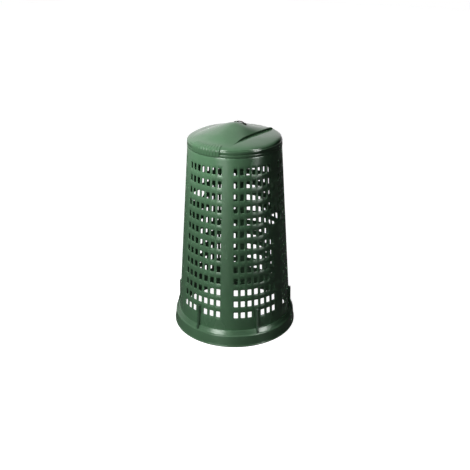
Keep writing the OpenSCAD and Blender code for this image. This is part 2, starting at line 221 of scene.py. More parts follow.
HINGE_Y, HINGE_Z = frame["joints"][0]["pos_m"][1], frame["joints"][0]["pos_m"][2]
HINGE_X, KNUCKLE_R, LID_KNUCKLE, COLLAR_KNUCKLE, KNUCKLE_GAP = 0.048, 0.007, 0.020, 0.010, 0.0005


def wall_r(z):
    return WALL_LOW_R - TAPER * (z - LOW_ROW)


# ---------------------------------------------------------------- slotted body
def make_body():
    """The tapered wall as one grid: every slot is a rounded, filleted hole in a block of its cells."""
    seg = 6  # cells across and up the block of one slot
    band = PANEL_ANGLE - COLUMNS * PITCH_ANGLE
    angles, cells = [], []
    for panel in range(PANELS):
        left = panel * PANEL_ANGLE - COLUMNS * PITCH_ANGLE / 2
        for column in range(COLUMNS + 1):
            width = PITCH_ANGLE if column < COLUMNS else band
            cells.append((len(angles), left + column * PITCH_ANGLE, width, column < COLUMNS))
            angles += [left + column * PITCH_ANGLE + width * k / seg for k in range(seg)]
    around = len(angles)
    low = LOW_ROW - ROW_PITCH / 2
    levels = [low + ROW_PITCH * k / seg for k in range(ROWS * seg + 1)]
    top = body_hi.z
    extra_top = [levels[-1] + (top - 0.005 - levels[-1]) * k / 3 for k in (1, 2, 3)]
    # the rounded top edge, as heights with how far each is set in
    cap = [(top - 0.0030, 0.0002), (top - 0.0015, 0.0006), (top - 0.0004, 0.0013), (top, 0.0022)]
    verts, faces, index = [], [], {}

    def at(angle, z, depth):
        r = wall_r(z) - depth
        a = math.radians(angle)
        return (r * math.sin(a), -r * math.cos(a), z)

    def lattice(i, j, side):
        key = (i % around, j, side)
        if key not in index:
            index[key] = len(verts)
            verts.append(at(angles[i % around], levels[j], WALL_T if side else 0.0))
        return index[key]

    def strip(outer, inner):
        n = len(outer)
        for k in range(n):
            faces.append((outer[k], outer[(k + 1) % n], inner[(k + 1) % n], inner[k]))

    def border(i0, j0, wide, tall):
        loop = [(i0 + k, j0) for k in range(wide)]
        loop += [(i0 + wide, j0 + k) for k in range(tall)]
        loop += [(i0 + wide - k, j0 + tall) for k in range(wide)]
        loop += [(i0, j0 + tall - k) for k in range(tall)]
        return loop

    def hole(i0, j0, wide, tall, mid_angle, mid_z, shape, between):
        """Fills a block of cells round one hole; shape(k, border point) gives the edge and its normal."""
        loop = border(i0, j0, wide, tall)
        outer = [lattice(i, j, 0) for i, j in loop]
        inner = [lattice(i, j, 1) for i, j in loop]
        r = wall_r(mid_z)
        edge = []
        flat = []
        for k, (i, j) in enumerate(loop):
            da = (angles[i % around] - mid_angle + 180.0) % 360.0 - 180.0
            p = (math.radians(da) * r, levels[j] - mid_z)
            flat.append(p)
            edge.append(shape(k, p))
        mouth = [(HOLE_FILLET, 0.0), (0.29 * HOLE_FILLET, 0.29 * HOLE_FILLET), (0.0, HOLE_FILLET), (0.0, WALL_T)]
        rings = [[(x + nx * grow, z + nz * grow, depth) for (x, z), (nx, nz) in edge] for grow, depth in mouth]
        last = outer
        for step in range(1, between + 1):
            t = step / (between + 1)
            ring = []
            for k, p in enumerate(flat):
                gx, gz, depth = rings[0][k]
                x, z = p[0] * (1 - t) + gx * t, p[1] * (1 - t) + gz * t
                ring.append(len(verts))
                verts.append(at(mid_angle + math.degrees(x / r), mid_z + z, depth))
            strip(last, ring)
            last = ring
        for ring in rings:
            new = []
            for x, z, depth in ring:
                new.append(len(verts))
                verts.append(at(mid_angle + math.degrees(x / r), mid_z + z, depth))
            strip(last, new)
            last = new
        for step in range(between, 0, -1):
            t = step / (between + 1)
            ring = []
            for k, p in enumerate(flat):
                gx, gz, _ = rings[-1][k]
                x, z = p[0] * (1 - t) + gx * t, p[1] * (1 - t) + gz * t
                ring.append(len(verts))
                verts.append(at(mid_angle + math.degrees(x / r), mid_z + z, WALL_T))
            strip(last, ring)
            last = ring
        strip(last, inner)

    def slot_shape(half):
        """Rounded rectangle: six segments a side, whose ends are the middles of its round corners."""
        a45, a20 = math.radians(45), math.radians(20)
        ladder = [(-1, a45), (-1, a20), (-1, 0.0), (0, 0.0), (1, 0.0), (1, a20)]

        def edge(k, _):
            side, step = divmod(k, seg)
            end, lean = ladder[step]
            length = (half if side in (0, 2) else SLOT_H / 2) - SLOT_ROUND
            along = end * (length + SLOT_ROUND * math.sin(lean))
            across = ((SLOT_H / 2 if side in (0, 2) else half) - SLOT_ROUND) + SLOT_ROUND * math.cos(lean)
            nx, nz = end * math.sin(lean), math.cos(lean)
            # side 0 runs along the bottom to +, 1 up the right, 2 back along the top, 3 down the left
            return (((along, -across), (nx, -nz)), ((across, along), (nz, nx)),
                    ((-along, across), (-nx, nz)), ((-across, -along), (-nz, -nx)))[side]

        return edge

    def hand_shape(_, p):
        """Where the ray from the hand-hold's middle to a border point meets its stadium outline."""
        rad, straight = HAND_H / 2, (HAND_W - HAND_H) / 2
        length = math.hypot(*p)
        dx, dz = p[0] / length, p[1] / length
        if abs(dz) > 1e-9 and abs(dx / dz) * rad <= straight:
            t = rad / abs(dz)
            return (dx * t, dz * t), (0.0, math.copysign(1.0, dz))
        cx = math.copysign(straight, dx)
        b = dx * cx
        t = b + math.sqrt(max(0.0, b * b - cx * cx + rad * rad))
        x, z = dx * t, dz * t
        return (x, z), ((x - cx) / rad, z / rad)

    hand_rows = [row for row in range(ROWS) if abs(LOW_ROW + row * ROW_PITCH - HAND_Z) <= ROW_PITCH]
    for n, (i0, left, width, slotted) in enumerate(cells):
        mid = left + width / 2
        beside = abs(math.cos(math.radians(mid))) * wall_r(HAND_Z) < HAND_W / 2
        for row in range(ROWS):
            j0 = row * seg
            z = LOW_ROW + row * ROW_PITCH
            if beside and row in hand_rows:
                if not slotted and row == hand_rows[0]:
                    hole(i0 - seg, j0, 3 * seg, len(hand_rows) * seg, mid, HAND_Z, hand_shape, 3)
                continue
            if slotted:
                half = wall_r(z) * math.sin(math.radians(SLOT_ANGLE / 2))
                hole(i0, j0, seg, seg, mid, z, slot_shape(half), 0)
            else:
                for a in range(seg):
                    for b in range(seg):
                        for side in (0, 1):
                            corners = ((a, b), (a + 1, b), (a + 1, b + 1), (a, b + 1))
                            faces.append(tuple(lattice(i0 + u, j0 + v, side) for u, v in corners))

    # plain rings above the slots, over the rounded top, down inside; and the same below the slots
    def ring_of(z, depth):
        base = len(verts)
        verts.extend(at(a, z, depth) for a in angles)
        return [base + k for k in range(around)]

    chain = [[lattice(i, len(levels) - 1, 0) for i in range(around)]]
    chain += [ring_of(z, 0.0) for z in extra_top]
    chain += [ring_of(z, d) for z, d in cap]
    chain += [ring_of(z, WALL_T) for z in [top, *reversed(extra_top)]]
    chain.append([lattice(i, len(levels) - 1, 1) for i in range(around)])
    for a, b in zip(chain, chain[1:]):
        strip(a, b)
    low_levels = [low - (low - body_lo.z) * k / 4 for k in (1, 2, 3, 4)]
    chain = [[lattice(i, 0, 0) for i in range(around)]]
    chain += [ring_of(z, 0.0) for z in low_levels]
    chain += [ring_of(z, WALL_T) for z in reversed(low_levels)]
    chain.append([lattice(i, 0, 1) for i in range(around)])
    for a, b in zip(chain, chain[1:]):
        strip(a, b)
    return add_mesh("body_wall", verts, faces, sharp=50)


body_wall = make_body()
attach(body_wall, "bin")
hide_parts(*("wall_panel_%d" % k for k in range(1, PANELS + 1)))


# ---------------------------------------------------------------- base ring and its clips
def make_base_ring():
    ledge_in = wall_r(LEDGE_TOP) + 0.0002
    sleeve_in = wall_r(SHELF_Z) + 0.0002
    outline = rounded([
        (FOOT_R, 0.0, 0.0008), (FOOT_R, 0.0045, 0.0012), (FOOT_R - 0.0025, 0.0065, 0.0010),
        (FOOT_R - 0.0055, SKIRT_H - 0.003, 0.0020), (FOOT_R - 0.0085, SKIRT_H, 0.0020),
        (FOOT_R - 0.0105, SKIRT_H + 0.0010, 0.0016),
        (ledge_in + RING_T + 0.0016, LEDGE_TOP - 0.0022, 0.0015), (ledge_in + RING_T, LEDGE_TOP, 0.0014),
        (ledge_in, LEDGE_TOP, 0.0004), (sleeve_in, SHELF_Z, 0.0), (sleeve_in - 0.014, SHELF_Z, 0.0006),
        (sleeve_in - 0.014, SHELF_Z - RING_T, 0.0006), (sleeve_in + RING_T, SHELF_Z - RING_T, 0.0006),
        (ledge_in + RING_T + 0.001, LEDGE_TOP - 0.006, 0.0010), (FOOT_R - 0.011, SKIRT_H - 0.004, 0.0010),
        (FOOT_R - 0.009, SKIRT_H - 0.006, 0.0010), (FOOT_R - 0.006, 0.0065, 0.0008), (FOOT_R - 0.0045, 0.0, 0.0006)])
    parts = [revolve("ring", outline, 288, 38)]
    inner = sleeve_in + RING_T - 0.0005
    web = [(inner, SHELF_Z - RING_T), (FOOT_R - 0.007, 0.010), (FOOT_R - 0.0095, SKIRT_H - 0.006),
           (inner + 0.001, LEDGE_TOP - 0.007)]
    for k in range(24):
        parts.append(turned(prism("web", web, RING_T / 2, 0.0005, 2), 7.5 + 15 * k))
    return join_parts("base_ring_skirt", parts)


base_skirt = make_base_ring()
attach(base_skirt, "bin")
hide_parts("base_ring")


def make_clip(number):
    """One base clip: an upright bar with its tongue through the wall and its foot in the ledge."""
    half_w, top_z, proud = 0.0055, 0.161, 0.010
    top_r = wall_r(top_z) + proud
    tongue_z, hook_z = LOW_ROW + SLOT_H / 2 - 0.0015, LOW_ROW - SLOT_H / 2
    wall_in = wall_r(hook_z) - WALL_T - 0.0004
    ledge_in = wall_r(LEDGE_TOP) + 0.0002 + RING_T
    bar = [(wall_r(top_z) + 0.0002, top_z), (top_r - 0.003, top_z - 0.001), (top_r, top_z - 0.004),
           (top_r + 0.002, LEDGE_TOP + 0.022), (FOOT_R - 0.011, LEDGE_TOP - 0.004),
           (FOOT_R - 0.0078, SKIRT_H + 0.0025), (FOOT_R - 0.0110, SKIRT_H + 0.0014),
           (ledge_in + 0.0010, LEDGE_TOP + 0.0002), (wall_r(LEDGE_TOP) + 0.0002, LEDGE_TOP + 0.0002)]
    tongue = [(wall_r(tongue_z) + 0.001, tongue_z), (wall_in - 0.002, tongue_z),
              (wall_in - 0.0035, tongue_z - 0.003), (wall_in - 0.001, hook_z - 0.007),
              (wall_in, hook_z - 0.007), (wall_in + 0.0002, hook_z + 0.0012),
              (wall_r(hook_z) + 0.001, hook_z + 0.0012)]
    tongue_half = wall_r(LOW_ROW) * math.sin(math.radians(SLOT_ANGLE / 2)) - 0.0002
    parts = [prism("bar", bar, half_w, 0.0010, 3), prism("tongue", tongue, tongue_half, 0.0004, 2)]
    return turned(join_parts("base_clip_bar_%d" % number, parts), (number - 1) * PANEL_ANGLE)


clips = []
for number in range(1, PANELS + 1):
    clip = make_clip(number)
    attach(clip, "bin")
    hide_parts("base_clip_%d" % number)
    clips.append(clip)


# ---------------------------------------------------------------- collar
def make_collar():
    mouth, lip = 0.177, 0.182
    sleeve = wall_r(SEAM_Z) - 0.004
    collar_r = 0.191
    outline = rounded([
        (collar_r, SEAM_Z, 0.0012), (collar_r, COLLAR_TOP, 0.0014), (lip, COLLAR_TOP, 0.0008),
        (lip - 0.0005, COLLAR_TOP + 0.007, 0.0008), (lip - 0.003, COLLAR_TOP + 0.007, 0.0008),
        (mouth, COLLAR_TOP - 0.002, 0.0010), (mouth, SEAM_Z, 0.0010), (sleeve - 0.0025, SEAM_Z - 0.004, 0.0008),
        (sleeve - 0.0025, SEAM_Z - 0.024, 0.0006), (sleeve - 0.0005, SEAM_Z - 0.024, 0.0006),
        (sleeve, SEAM_Z, 0.0004)])
    parts = [revolve("band", outline, 256, 38)]
    gusset = [(0.178, SEAM_Z + 0.001), (0.178, COLLAR_TOP - 0.0005), (HINGE_Y, COLLAR_TOP - 0.0005),
              (HINGE_Y, HINGE_Z - KNUCKLE_R + 0.001), (HINGE_Y - 0.003, HINGE_Z - KNUCKLE_R),
              (0.1905, SEAM_Z - 0.006), (0.189, SEAM_Z + 0.001)]
    for side in (-1, 1):
        for end in (-1, 1):
            x = side * HINGE_X + end * (LID_KNUCKLE + COLLAR_KNUCKLE + 2 * KNUCKLE_GAP) / 2
            parts.append(rod("knuckle", (x - COLLAR_KNUCKLE / 2, HINGE_Y, HINGE_Z),
                             (x + COLLAR_KNUCKLE / 2, HINGE_Y, HINGE_Z), KNUCKLE_R))
            web = turned(prism("gusset", gusset, COLLAR_KNUCKLE / 2 - 0.0001, 0.0005, 2), 180)
            web.data.transform(Matrix.Translation((x, 0, 0)))
            parts.append(web)
    return join_parts("collar_band", parts)


collar_band = make_collar()
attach(collar_band, "bin")
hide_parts("collar")

# ---------------------------------------------------------------- lid
FRONT_FLAT_R, FLAT_R, PLATEAU_Z, PLATEAU_FALL = 0.085, 0.135, 0.840, 0.035
CROWN_Z, CROWN_STEP, RIDGE_ROUND = 0.8788, 0.008, 0.020
RIDGE_FRONT, RIDGE_REAR, CROWN_FULL = 0.33, 0.36, 1.6
CROWN_FRONT, CROWN_REAR, CROWN_FRONT_W, CROWN_REAR_W = -0.150, 0.158, 0.090, 0.076
CREASE_RUN = 0.0028
DOME_W, DOME_REACH, DOME_FULL = 0.128, 0.165, 1.15
# the rim is set back behind the grip, between two near-upright walls 0.3 degrees wide
GRIP_TURN, GRIP_WALL_TURN, SET_BACK_R = 21.0, 0.15, 0.1849


def dome_base(x, y):
    """The lid without its crown: a nearly flat top that turns over a round shoulder, rounder at the front."""
    r = math.hypot(x, y)
    rear = smooth_step((abs(math.degrees(math.atan2(x, -y))) - 75) / 45)
    flat_r = FRONT_FLAT_R + (FLAT_R - FRONT_FLAT_R) * rear
    plateau = PLATEAU_Z - PLATEAU_FALL * r
    if r <= flat_r:
        return plateau
    power = 2.0 + 1.15 * rear
    u = min(1.0, (r - flat_r) / (BEAD_R - flat_r))
    return RIM_TOP + (plateau - RIM_TOP) * (1 - u ** power) ** (1 / power)


def crown_w(y):
    return CROWN_FRONT_W + (CROWN_REAR_W - CROWN_FRONT_W) * (y - CROWN_FRONT) / (CROWN_REAR - CROWN_FRONT)


def ridge_z(y):
    return CROWN_Z + (RIDGE_FRONT if y < 0 else RIDGE_REAR) * (RIDGE_ROUND - math.hypot(y, RIDGE_ROUND))


def dome_w(y):
    """Reach of the crown's smooth side, at -X."""
    return DOME_W * max(0.0, 1 - (abs(y) / DOME_REACH) ** 3) ** (1 / 3)


def lid_z(x, y):
    """Height of the lid's outer surface: base and crown, which steps down at +X and runs out at -X."""
    base = dome_base(x, y)
    w = crown_w(y)
    if y < 0:
        step = CROWN_STEP * smooth_step((y + 0.135) / 0.085)
        share = smooth_step((y + 0.165) / 0.060)
    else:
        step = CROWN_STEP * smooth_step((CROWN_REAR + 0.006 - y) / 0.026)
        share = 1 - smooth_step((y - 0.132) / 0.034)
    if x < 0:
        reach = dome_w(y)
        if reach < 1e-6:
            return base
        middle = dome_base(w, y) * share + dome_base(0, y) * (1 - share) + step * (1 - share)
        middle += (ridge_z(y) - dome_base(w, y)) * share
        s = min(1.0, math.hypot(x, 0.010) / reach - 0.010 / reach)
        return base + (middle - dome_base(0, y)) * (1 - s ** DOME_FULL)
    if x > w:
        return base + step * (1 - smooth_step((x - w) / CREASE_RUN))
    edge = dome_base(w, y)
    swell = (ridge_z(y) - edge - step) * (1 - (x / w) ** CROWN_FULL)
    return base * (1 - share) + (edge + swell) * share + step


def make_lid():
    """The lid's skin: a grid along the crown whose edge loops run on both creases, ringed out to the rim."""
    inside = [0.0, 0.12, 0.24, 0.36, 0.48, 0.58, 0.635, 0.665, 0.74, 0.82, 0.89, 0.94, 0.97, 0.985, 1.0]
    beyond = [0.0004, 0.0009, 0.0014, 0.0019, 0.0024, 0.0029, 0.0042, 0.0075]
    columns = [("in", -c) for c in reversed(inside[1:])] + [("in", c) for c in inside]
    columns = [("out", -b) for b in reversed(beyond)] + columns + [("out", b) for b in beyond]
    rows = [CROWN_FRONT + 0.0072 * k for k in range(39)]
    rows += [rows[-1] + 0.0045 * k for k in range(1, 9)]
    verts, faces = [], []

    def x_of(column, y):
        kind, v = column
        if v < 0:
            return v * dome_w(y) if kind == "in" else -dome_w(y) + v
        return v * crown_w(y) if kind == "in" else crown_w(y) + v

    grid = []
    for y in rows:
        grid.append([])
        for column in columns:
            x = x_of(column, y)
            grid[-1].append(len(verts))
            verts.append((x, y, lid_z(x, y)))
    for j in range(len(rows) - 1):
        for i in range(len(columns) - 1):
            faces.append((grid[j][i], grid[j][i + 1], grid[j + 1][i + 1], grid[j + 1][i]))
    loop = grid[0][:-1] + [row[-1] for row in grid[:-1]]
    loop += list(reversed(grid[-1][1:])) + [row[0] for row in reversed(grid[1:])]
    turn = [math.atan2(verts[v][0], -verts[v][1]) for v in loop]
    for sign in (-1, 1):
        order = sorted(range(len(loop)), key=lambda k: abs(turn[k] - sign * math.radians(GRIP_TURN)))[:2]
        low, high = sorted(order, key=lambda k: abs(turn[k]))
        turn[low] = sign * math.radians(GRIP_TURN - GRIP_WALL_TURN)
        turn[high] = sign * math.radians(GRIP_TURN + GRIP_WALL_TURN)
    count = 14  # rings between the crown's grid and the bead
    last = loop
    for k in range(1, count + 1):
        t = math.sin(math.pi / 2 * k / count)
        ring = []
        for n, v in enumerate(loop):
            px, py = verts[v][0], verts[v][1]
            cx, cy = BEAD_R * math.sin(turn[n]), -BEAD_R * math.cos(turn[n])
            x, y = px * (1 - t) + cx * t, py * (1 - t) + cy * t
            if k == count:
                x, y = cx, cy
            ring.append(len(verts))
            fade = 1 - smooth_step(t * 2.2)
            z = dome_base(x, y) + (verts[v][2] - dome_base(px, py)) * fade
            verts.append((x, y, z))
        for n in range(len(loop)):
            m = (n + 1) % len(loop)
            faces.append((last[n], last[m], ring[m], ring[n]))
        last = ring
    rim = [(BEAD_R - 0.0002, RIM_TOP - 0.0003), (BEAD_R - 0.0004, RIM_TOP - 0.0009),
           (BEAD_R + 0.0004, RIM_TOP - 0.0013), (RIM_R - 0.0014, RIM_TOP - 0.0013),
           (RIM_R - 0.0005, RIM_TOP - 0.0017), (RIM_R, RIM_TOP - 0.0028), (RIM_R, (RIM_TOP + LID_FOOT) / 2),
           (RIM_R, LID_FOOT + 0.0015), (RIM_R - 0.0004, LID_FOOT + 0.0004), (RIM_R - 0.0013, LID_FOOT)]
    for r, z in rim:
        ring = []
        for n in range(len(loop)):
            rr = min(r, SET_BACK_R) if abs(turn[n]) < math.radians(GRIP_TURN) else r
            ring.append(len(verts))
            verts.append((rr * math.sin(turn[n]), -rr * math.cos(turn[n]), z))
        for n in range(len(loop)):
            m = (n + 1) % len(loop)
            faces.append((last[n], last[m], ring[m], ring[n]))
        last = ring
    skin = add_mesh("skin", verts, faces, sharp=55)
    # the inside: the same skin one wall thickness further in, closed along the foot of the rim
    mesh = skin.data
    bm = bmesh.new()
    bm.from_mesh(mesh)
    bm.normal_update()
    outward = sum(f.normal.z * f.calc_area() for f in bm.faces) > 0
    offset = {}
    for v in bm.verts:
        n = v.normal if outward else -v.normal
        p = v.co - n * WALL_T
        offset[v.index] = Vector((p.x, p.y, max(LID_FOOT, p.z)))
    total = len(bm.verts)
    inner_verts = [offset[i] for i in range(total)]
    outer_verts = [v.co.copy() for v in bm.verts]
    outer_faces = [[v.index for v in f.verts] for f in bm.faces]
    edge_pairs = [(e.verts[0].index, e.verts[1].index) for e in bm.edges if e.is_boundary]
    bm.free()
    all_faces = outer_faces + [[total + i for i in reversed(f)] for f in outer_faces]
    all_faces += [(a, b, total + b, total + a) for a, b in edge_pairs]
    bpy.data.objects.remove(skin)
    parts = [add_mesh("shell", outer_verts + inner_verts, all_faces, sharp=55)]
    arm_y0 = 0.180
    for side in (-1, 1):
        x = side * HINGE_X
        parts.append(rod("knuckle", (x - LID_KNUCKLE / 2, HINGE_Y, HINGE_Z),
                         (x + LID_KNUCKLE / 2, HINGE_Y, HINGE_Z), KNUCKLE_R))
        arm_top = LID_FOOT + KNUCKLE_R - 0.0015
        arm = prism("arm", [(arm_y0, LID_FOOT), (arm_y0, arm_top), (HINGE_Y, arm_top), (HINGE_Y, LID_FOOT)],
                    LID_KNUCKLE / 2 - 0.0001, 0.0006, 2)
        turned(arm, 180).data.transform(Matrix.Translation((x, 0, 0)))
        parts.append(arm)
    return join_parts("lid_skin", parts)


lid_skin = make_lid()
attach(lid_skin, "lid")
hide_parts("lid_shell", "lid_crown")


def make_grip():
    """The ribbed pad: up the rim, over the bead and on to the shoulder, with upright ribs."""
    half, ribs = 20.8, 11
    pitch = (2 * half - 3.0) / (ribs - 1)
    path = [(0.1919, 0.7908), (0.1922, 0.7935), (0.1922, 0.8000), (0.1922, 0.8070), (0.1922, 0.8130),
            (0.1916, 0.8158), (0.1898, 0.8185)]
    shoulder = []
    for k in range(1, 12):
        r = 0.1876 - (0.1876 - 0.1620) * (k / 11) ** 1.6
        shoulder.append((r, dome_base(0.0, -r) + 0.0014))
    path += [(0.1886, 0.8200)] + [p for p in shoulder if p[1] > 0.8212]
    end_r, end_z = path[-1]
    tail = [(end_r - 0.0009, end_z - 0.0007), (end_r - 0.0013, end_z - 0.0022), (0.1760, 0.8200),
            (0.1853, 0.8150), (0.1853, 0.8008), (0.1914, 0.8004), (0.1914, 0.7909)]
    total = 10 * ribs
    steps = [-half + 2 * half * k / total for k in range(1, total)]
    steps = sorted({-half, -half + 0.25, half - 0.25, half, *steps})
    verts, faces = [], []
    n = len(path) + len(tail)
    for angle in steps:
        nearest = min(range(ribs), key=lambda i: abs(angle - (i - (ribs - 1) / 2) * pitch))
        gap = abs(angle - (nearest - (ribs - 1) / 2) * pitch)
        rise = 0.0012 * (1 - smooth_step((gap - 0.45) / 0.55))
        sink = 0.0006 if abs(angle) > half - 0.1 else 0.0
        a = math.radians(angle)
        for k, (r, z) in enumerate(path):
            before, after = path[max(0, k - 1)], path[min(len(path) - 1, k + 1)]
            d = Vector((after[0] - before[0], after[1] - before[1])).normalized()
            normal = Vector((d.y, -d.x))
            ends = smooth_step(k / 2.0) * smooth_step((len(path) - 1 - k) / 2.0)
            q = Vector((r, z)) + normal * (rise * ends - sink)
            verts.append((q.x * math.sin(a), -q.x * math.cos(a), q.y))
        for r, z in tail:
            verts.append((r * math.sin(a), -r * math.cos(a), z))
    for s in range(len(steps) - 1):
        for k in range(n):
            m = (k + 1) % n
            faces.append((s * n + k, s * n + m, (s + 1) * n + m, (s + 1) * n + k))
    for s in (0, len(steps) - 1):
        faces.append(tuple(s * n + k for k in range(n)))
    return add_mesh("grip_pad", verts, faces, sharp=45)


grip_pad = make_grip()
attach(grip_pad, "lid")
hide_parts("lid_grip")


# ---------------------------------------------------------------- lifting strap and its rivets
STRAP_Y, STRAP_W, STRAP_T, STRAP_SPAN = 0.035, 0.012, 0.0035, 0.048
STRAP_FLAT, STRAP_RISE, STRAP_BELLY = 0.008, 0.0075, 0.0011
STRAP_ARCH = STRAP_SPAN - 2 * STRAP_FLAT
STRAP_LEAN = math.atan(RIDGE_REAR * STRAP_Y / math.hypot(STRAP_Y, RIDGE_ROUND))
STRAP_SEAT = lid_z(STRAP_ARCH / 2, STRAP_Y) + 0.0003


def on_crown(p):
    """From the strap's own frame, whose floor lies on the crown's rearward slope, to the bin's frame."""
    return Matrix.Translation((0, STRAP_Y, STRAP_SEAT)) @ Matrix.Rotation(-STRAP_LEAN, 4, "X") @ Vector(p)


def strap_under(x):
    half = STRAP_ARCH / 2
    if abs(x) < half:
        return (STRAP_RISE - STRAP_T) * (1 - abs(x / half) ** 2.6)
    return lid_z(abs(x), STRAP_Y) - lid_z(half, STRAP_Y)


def make_strap():
    """A moulded band of rounded section that arches between two flat, round-ended eyelets."""
    end_x = STRAP_SPAN / 2 + STRAP_FLAT
    xs = [-end_x + 2 * end_x * k / 64 for k in range(65)]
    verts, faces = [], []
    corner = 12
    for x in xs:
        z = strap_under(x)
        slope = (strap_under(x + 1e-4) - strap_under(x - 1e-4)) / 2e-4
        run = math.hypot(1, slope)
        nx, nz = -slope / run, 1 / run
        reach = abs(x) - STRAP_SPAN / 2
        half = STRAP_W / 2
        if reach > 0:
            half = math.sqrt(max(1e-8, (STRAP_W / 2) ** 2 * (1 - (reach / STRAP_FLAT) ** 2.4)))
        half *= 0.8 + 0.2 * smooth_step((abs(x) - STRAP_ARCH / 2 + 0.006) / 0.010)
        thick = STRAP_T * (0.80 if abs(x) > STRAP_ARCH / 2 + 0.003 else 1.0)
        for k in range(4 * corner):
            a = 2 * math.pi * k / (4 * corner)
            ca, sa = math.cos(a), math.sin(a)
            u = math.copysign(abs(ca) ** 0.45, ca) * half
            v = math.copysign(abs(sa) ** 0.6, sa) * thick / 2 + thick / 2
            if sa < 0:
                v += STRAP_BELLY * sa * max(0.0, 1 - (2 * x / STRAP_ARCH) ** 2)
            verts.append(on_crown((x + nx * v, u, z + nz * v)))
    n = 4 * corner
    for s in range(len(xs) - 1):
        for k in range(n):
            m = (k + 1) % n
            faces.append((s * n + k, s * n + m, (s + 1) * n + m, (s + 1) * n + k))
    faces.append(tuple(range(n)))
    faces.append(tuple((len(xs) - 1) * n + k for k in range(n)))
    return add_mesh("strap_band", verts, faces, sharp=50)


def make_rivets():
    """Two domed rivets with their shanks and the clenched heads under the lid's skin."""
    outline = [(0.0, 0.0021), (0.0016, 0.0020), (0.0031, 0.0016), (0.0042, 0.0009), (0.0048, 0.0),
               (0.0047, -0.0004), (0.0024, -0.0005), (0.0024, -0.0090), (0.0041, -0.0091), (0.0041, -0.0104),
               (0.0, -0.0106)]
    parts = []
    for side in (-1, 1):
        verts, faces = [], []
        segments = 40
        top = strap_under(STRAP_SPAN / 2) + STRAP_T * 0.82
        for r, z in outline:
            for s in range(segments):
                a = 2 * math.pi * s / segments
                r_ = max(r, 1e-5)
                verts.append(on_crown((side * STRAP_SPAN / 2 + r_ * math.cos(a), r_ * math.sin(a), top + z)))
        for k in range(len(outline) - 1):
            for s in range(segments):
                t = (s + 1) % segments
                faces.append((k * segments + s, k * segments + t,
                              (k + 1) * segments + t, (k + 1) * segments + s))
        parts.append(add_mesh("rivet", verts, faces, sharp=45))
    return join_parts("strap_rivet_heads", parts)


strap_band = make_strap()
strap_rivet_heads = make_rivets()
for piece, node in ((strap_band, "lifting_strap"), (strap_rivet_heads, "strap_rivets")):
    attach(piece, "lid")
    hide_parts(node)

# the hinge pins stay as they are, with softened edges
pins = [nodes["hinge_pin_left"], nodes["hinge_pin_right"]]
for pin in pins:
    soften = pin.modifiers.new("soften", "BEVEL")
    soften.width = 0.0003
    soften.segments = 2
    soften.limit_method = "ANGLE"
    soften.angle_limit = math.radians(40)


# ---------------------------------------------------------------- materials
def link(tree, a, b):
    tree.links.new(a, b)


def moulded(name, colour, pale, rough, rough_span, wave, grain, specular=0.5):
    """Moulded plastic: slow colour and gloss drift, faint flow streaks, fine grain and a slightly uneven skin."""
    material = bpy.data.materials.new(name)
    material.use_nodes = True
    tree = material.node_tree
    shader = tree.nodes["Principled BSDF"]
    coords = tree.nodes.new("ShaderNodeTexCoord")

    def noise(scale, detail=3.0, stretch=(1, 1, 1), roughness=0.5):
        mapping = tree.nodes.new("ShaderNodeMapping")
        mapping.inputs["Scale"].default_value = stretch
        link(tree, coords.outputs["Object"], mapping.inputs["Vector"])
        node = tree.nodes.new("ShaderNodeTexNoise")
        node.inputs["Scale"].default_value = scale
        node.inputs["Detail"].default_value = detail
        node.inputs["Roughness"].default_value = roughness
        link(tree, mapping.outputs["Vector"], node.inputs["Vector"])
        return node

    def span(source, low, high, to_low, to_high):
        node = tree.nodes.new("ShaderNodeMapRange")
        for key, value in zip(("From Min", "From Max", "To Min", "To Max"), (low, high, to_low, to_high)):
            node.inputs[key].default_value = value
        link(tree, source, node.inputs["Value"])
        return node.outputs["Result"]

    drift = noise(5.0, 4.0)
    flow = noise(26.0, 3.0, (1.0, 1.0, 0.14))
    fleck = noise(900.0, 2.0)
    mix = tree.nodes.new("ShaderNodeMix")
    mix.data_type = "RGBA"
    mix.inputs["A"].default_value = (*colour, 1)
    mix.inputs["B"].default_value = (*pale, 1)
    add = tree.nodes.new("ShaderNodeMath")
    add.operation = "ADD"
    link(tree, span(drift.outputs["Fac"], 0.35, 0.65, 0.0, 0.55), add.inputs[0])
    link(tree, span(flow.outputs["Fac"], 0.40, 0.62, 0.0, 0.30), add.inputs[1])
    add2 = tree.nodes.new("ShaderNodeMath")
    add2.operation = "ADD"
    link(tree, add.outputs["Value"], add2.inputs[0])
    link(tree, span(fleck.outputs["Fac"], 0.45, 0.70, 0.0, 0.15), add2.inputs[1])
    link(tree, add2.outputs["Value"], mix.inputs["Factor"])
    link(tree, mix.outputs["Result"], shader.inputs["Base Color"])
    gloss = noise(11.0, 3.0, (1.0, 1.0, 0.4))
    uneven_gloss = span(gloss.outputs["Fac"], 0.3, 0.7, rough - rough_span, rough + rough_span)
    link(tree, uneven_gloss, shader.inputs["Roughness"])
    uneven = noise(38.0, 1.0)
    fine = noise(1400.0, 2.0)
    bump_a = tree.nodes.new("ShaderNodeBump")
    bump_a.inputs["Strength"].default_value = 1.0
    bump_a.inputs["Distance"].default_value = wave
    link(tree, uneven.outputs["Fac"], bump_a.inputs["Height"])
    bump_b = tree.nodes.new("ShaderNodeBump")
    bump_b.inputs["Strength"].default_value = 1.0
    bump_b.inputs["Distance"].default_value = grain
    link(tree, fine.outputs["Fac"], bump_b.inputs["Height"])
    link(tree, bump_a.outputs["Normal"], bump_b.inputs["Normal"])
    link(tree, bump_b.outputs["Normal"], shader.inputs["Normal"])
    shader.inputs["IOR"].default_value = 1.5
    shader.inputs["Specular IOR Level"].default_value = specular
    return material


